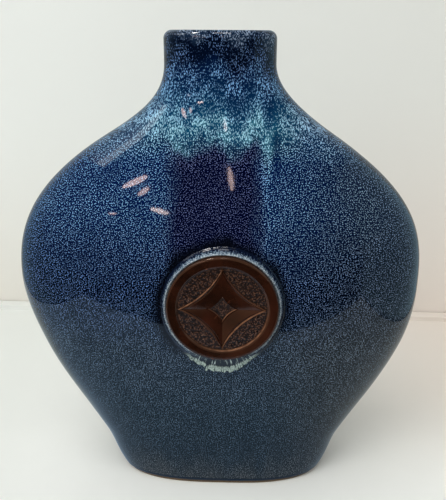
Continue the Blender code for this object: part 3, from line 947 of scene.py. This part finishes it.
stage = {
    # metres
    "tableFront": -0.212, "tableSides": (-0.62, 0.60), "tableThickness": 0.03, "underWall": 0.03,
    "wallLine": 0.2685, "wallTurn": -1.7, "wallHeight": 0.75, "wallFoot": -0.2, "wallHalfWidth": 0.75,
    "ledgeDepth": 0.0145, "ledgeHeight": 0.0043, "ledgeGap": 0.0012,
    "dust": 9.0,   # clouds of the table's tone to a metre
    # tones, each with the places in millimetres between which it sets in: across or up, and along
    "tableTones": [(0.35, "#f6f6f3"), (0.65, "#fafaf7")],
    # painted shade greys the far left of the table, and a warm painted shadow lies to the right of the vase and behind
    # it
    "tableShadeLeft": ("#e9eae6", (-90, -200)), "tableShadowRight": ("#f2e8df", (20, 220), (-80, 120)),
    # the wall's tones are painted shade across it, and painted light bounced warm from the table low down
    "wallLightAndShadeTones": [("#eff0ed", "#e9e9e5"), ("#e2dcd3", "#f3e9e1")], "wallShadeRight": (-150, 220),
    "wallBounceLow": (240, -60), "wallBounceLowTilt": -0.12,
    # painted reflection: to glossy rays table and wall are dimmer and bluer, and greyer beside the vase, and so the
    # glaze mirrors them
    "mirroredTable": [(0.60, 0.80, 1.10), (0.69, 0.75, 0.78)],
    "mirroredWall": [(0.36, 0.48, 0.60), (0.43, 0.46, 0.465)],
    "beside": (30, 120), "besideLeft": ((-30, -100), (-20, 60)),
    # the screens at the sides, which show only as mirrored in the glaze: foot at the front and at the back, tone,
    # and how much brighter the back is
    # a painted shadow darkens the foot of each screen
    "screenHeight": 0.42, "screenFootShadow": ("#202226", (3, 8)), "screenBack": (-100, 100),
    "screens": [
        ("left_screen", (-0.277, -0.205), (-0.380, 0.26), "#62747f", 2.6),
        ("right_screen", (0.297, -0.220), (0.300, 0.26), "#9ab8c8", 1.2),
    ],
}


def addStagePiece(name, corners, thickness, material):
    bm = bmesh.new()
    face = bm.faces.new([bm.verts.new(corner) for corner in corners])
    if thickness:
        grown = bmesh.ops.extrude_face_region(bm, geom=[face])["geom"]
        lowered = [part for part in grown if isinstance(part, bmesh.types.BMVert)]
        bmesh.ops.translate(bm, vec=(0, 0, -thickness), verts=lowered)
        bmesh.ops.recalc_face_normals(bm, faces=bm.faces)
    piece = addPiece(name, bm, [material])
    return piece


def asMirrored(put, tone, beside, tints):
    # the tone that the camera sees, and for a glossy ray the same tone tinted
    tint = put("Mix VECTOR", beside, *tints)
    tint = put("Mix VECTOR", put("LightPath").outputs["Is Glossy Ray"], (1, 1, 1), tint)
    return put("VectorMath MULTIPLY", tone, tint)


def makeTable(turn):
    white, put, shader, place = newMaterial("white_table_top", Roughness=0.55, Specular_IOR_Level=0.25)
    across, along, _ = put("SeparateXYZ", place).outputs
    dust = put("TexNoise", place, Scale=stage["dust"] * mm, Detail=5.0, Roughness=0.6)
    tone = fillRamp(put("ValToRGB", dust), stage["tableTones"])
    # painted shade on the far left
    leftShadeTone, leftPlace = stage["tableShadeLeft"]
    tone = put("Mix RGBA", put("MapRange SMOOTHSTEP", across, *leftPlace), tone, leftShadeTone)
    # painted shadow of the vase, warm, to the right and behind it
    shadowTone, shadowAcross, shadowAlong = stage["tableShadowRight"]
    shade = narrowed(put, put("MapRange SMOOTHSTEP", across, *shadowAcross), (along, shadowAlong))
    tone = put("Mix RGBA", shade, tone, shadowTone)
    leftPlace, behind = stage["besideLeft"]
    besideLeft = narrowed(put, put("MapRange SMOOTHSTEP", across, *leftPlace), (along, behind))
    beside = put("Math MAXIMUM", put("MapRange SMOOTHSTEP", across, *stage["beside"]), besideLeft)
    setInputs(shader, Base_Color=asMirrored(put, tone, beside, stage["mirroredTable"]))

    left, right = stage["tableSides"]
    front, back = stage["tableFront"], stage["wallLine"] + stage["underWall"]
    corners = [(left, front, 0), (right, front, 0), (right, back, 0), (left, back, 0)]
    addStagePiece("table_top", corners, stage["tableThickness"], white)
    half, deep, rise, gap = stage["wallHalfWidth"], stage["ledgeDepth"], stage["ledgeHeight"], stage["ledgeGap"]
    corners = [(-half, -deep, rise), (half, -deep, rise), (half, -gap, rise), (-half, -gap, rise)]
    addStagePiece("ledge", [turn @ Vector(corner) for corner in corners], rise, white)


def makeWall(turn):
    # it shows from the front only, so that it hides nothing in a view from behind
    paint, put, shader, place = newMaterial("off_white_wall", Roughness=0.9, Specular_IOR_Level=0.1)
    across, _, level = put("SeparateXYZ", place).outputs
    # painted light and shade: the tone changes across the wall, and painted light bounced from the table warms it low
    # down
    drop = put("Math MULTIPLY_ADD", across, stage["wallBounceLowTilt"], level)
    toRight = put("MapRange", across, *stage["wallShadeRight"])
    upper, lower = (put("Mix RGBA", toRight, *tones) for tones in stage["wallLightAndShadeTones"])
    tone = put("Mix RGBA", put("MapRange SMOOTHSTEP", drop, *stage["wallBounceLow"]), upper, lower)   # warmed by the table
    toSide = put("Math ABSOLUTE", across)
    beside = put("MapRange SMOOTHSTEP", toSide, *stage["beside"])
    setInputs(shader, Base_Color=asMirrored(put, tone, beside, stage["mirroredWall"]))
    shown = put("MixShader", put("NewGeometry").outputs["Backfacing"], shader, put("BsdfTransparent"))
    setInputs(paint.node_tree.nodes["Material Output"], Surface=shown)
    half, low, high = stage["wallHalfWidth"], stage["wallFoot"], stage["wallHeight"]
    corners = [(-half, 0, low), (half, 0, low), (half, 0, high), (-half, 0, high)]
    addStagePiece("wall", [turn @ Vector(corner) for corner in corners], 0, paint)


def makeScreens():
    high = stage["screenHeight"]
    footShadow, footShadowPlace = stage["screenFootShadow"]
    for name, near, far, tone, brighter in stage["screens"]:
        cloth, put, shader, place = newMaterial(name + "_cloth", Roughness=0.9, Specular_IOR_Level=0.1)
        _, along, level = put("SeparateXYZ", place).outputs
        # painted shadow along the foot of the screen
        tone = put("Mix RGBA", put("MapRange", level, *footShadowPlace), footShadow, tone)
        toBack = put("MapRange SMOOTHSTEP", along, *stage["screenBack"], 1.0, brighter)
        setInputs(shader, Base_Color=put("VectorMath SCALE", tone, toBack))
        screen = addStagePiece(name, [(*near, 0), (*far, 0), (*far, high), (*near, high)], 0, cloth)
        screen.visible_camera = screen.visible_diffuse = screen.visible_shadow = False


wallTurn = Matrix.Translation((0, stage["wallLine"], 0)) @ Matrix.Rotation(math.radians(stage["wallTurn"]), 4, "Z")
makeTable(wallTurn)
makeWall(wallTurn)
makeScreens()
print("stage set")


# Light: broad soft fill that no surface mirrors, and the tubes, lamps and pale panel that the glaze mirrors

lamps = [
    # name, place, width, height, turn (degrees), radiance, colour, part it plays
    ("soft_fill", (-0.35, -0.85, 1.45), 1.7, 1.5, 0, 2.25, (0.98, 1.0, 0.99), "light"),
    ("side_fill", (-0.75, -1.05, 0.85), 0.70, 0.70, 0, 2.6, (0.99, 1.0, 0.97), "light"),
    ("left_window", (-0.83, -0.085, 1.05), 0.27, 0.42, 0, 3.9, (0.86, 0.95, 1.0), "glint"),
    ("left_window_far", (-0.872, 0.20, 1.004), 0.34, 0.44, 0, 0.9, (0.95, 0.97, 1.0), "glint"),
    ("ceiling_tube_left", (-0.463, -0.041, 1.45), 0.31, 0.12, -35, 54.0, (1.0, 0.98, 0.95), "glint"),
    ("ceiling_tube_right", (0.006, -0.197, 1.45), 0.23, 0.10, 0, 35.0, (1.0, 0.98, 0.95), "glint"),
    ("lamp_1", (-0.663, -0.901, 0.951), 0.24, 0.075, 18, 14.5, (1.0, 0.72, 0.66), "glint"),
    ("lamp_2", (-0.554, -1.025, 0.873), 0.10, 0.06, 35, 12.5, (1.0, 0.72, 0.66), "glint"),
    ("lamp_3", (-0.410, -1.174, 0.709), 0.16, 0.045, -18, 15.8, (1.0, 0.78, 0.70), "glint"),
    ("lamp_4", (-0.799, -0.995, 0.671), 0.11, 0.025, 0, 11.2, (1.0, 0.72, 0.66), "glint"),
    ("lamp_5", (0.006, -1.106, 0.947), 0.032, 0.15, 0, 12.2, (1.0, 0.72, 0.66), "glint"),
]


def hangLamps():
    aim = Vector((0, 0, 0.17))   # the middle of the vase
    for name, place, width, height, turn, radiance, color, part in lamps:
        light = bpy.data.lights.new(name, "AREA")
        light.shape = "ELLIPSE" if name.startswith("lamp") else "RECTANGLE"
        light.size, light.size_y = width, height
        light.energy = radiance * width * height * math.pi
        light.color = color
        lamp = bpy.data.objects.new(name, light)
        lamp.location = place
        facing = (aim - Vector(place)).to_track_quat("-Z", "Y").to_matrix()
        lamp.rotation_euler = (facing @ Matrix.Rotation(math.radians(turn), 3, "Z")).to_euler()
        lamp.visible_glossy = part != "light"
        lamp.visible_diffuse = part != "glint"
        bpy.context.scene.collection.objects.link(lamp)


# The glaze mirrors a dim room in front of the table, paler behind and on the right; all else is lit evenly, and the
# camera sees a plain pale studio

room = {"front": "#2a2b30", "behind": "#4e5c67", "depth": (-0.4, 0.6), "right": (0.3, 1.0),
        "even": "#aeb0ad", "studio": "#e4e5de"}


def makeWorld():
    world = bpy.data.worlds.new("studio")
    bpy.context.scene.world = world
    world.use_nodes = True
    put = partial(addNode, world.node_tree)
    sideways, backward, _ = put("SeparateXYZ", put("TexCoord").outputs["Generated"]).outputs
    mirrored = put("Mix RGBA", put("MapRange SMOOTHSTEP", backward, *room["depth"]), room["front"], room["behind"])
    mirrored = put("Mix RGBA", put("MapRange SMOOTHSTEP", sideways, *room["right"]), mirrored, room["behind"])
    ray = put("LightPath").outputs
    lit = put("Mix RGBA", ray["Is Glossy Ray"], room["even"], mirrored)
    seen = put("Mix RGBA", ray["Is Camera Ray"], lit, room["studio"])
    setInputs(world.node_tree.nodes["Background"], Color=seen)


hangLamps()
makeWorld()
print("lit")


# Camera at the photograph's place: a little above the vase, looking down on it

camera = {
    "place": (0.01357, -0.43577, 0.27838), "aside": -0.0300, "down": 16.78, "roll": 0.315,
    "lens": 51.84, "sensorHeight": 36.0,
}


def placeCamera():
    data = bpy.data.cameras.new("camera")
    data.sensor_fit = "VERTICAL"
    data.sensor_height = camera["sensorHeight"]
    data.lens = camera["lens"]
    data.clip_start = 0.01
    seen = bpy.data.objects.new("camera", data)
    down = math.radians(camera["down"])
    level = math.cos(down)
    forward = Vector((camera["aside"] * level, math.sqrt(1 - camera["aside"] ** 2) * level, -math.sin(down)))
    seen.location = camera["place"]
    turned = forward.to_track_quat("-Z", "Y").to_matrix() @ Matrix.Rotation(math.radians(camera["roll"]), 3, "Z")
    seen.rotation_euler = turned.to_euler()
    bpy.context.scene.collection.objects.link(seen)
    bpy.context.scene.camera = seen


placeCamera()
bpy.context.scene.view_settings.view_transform = "Standard"
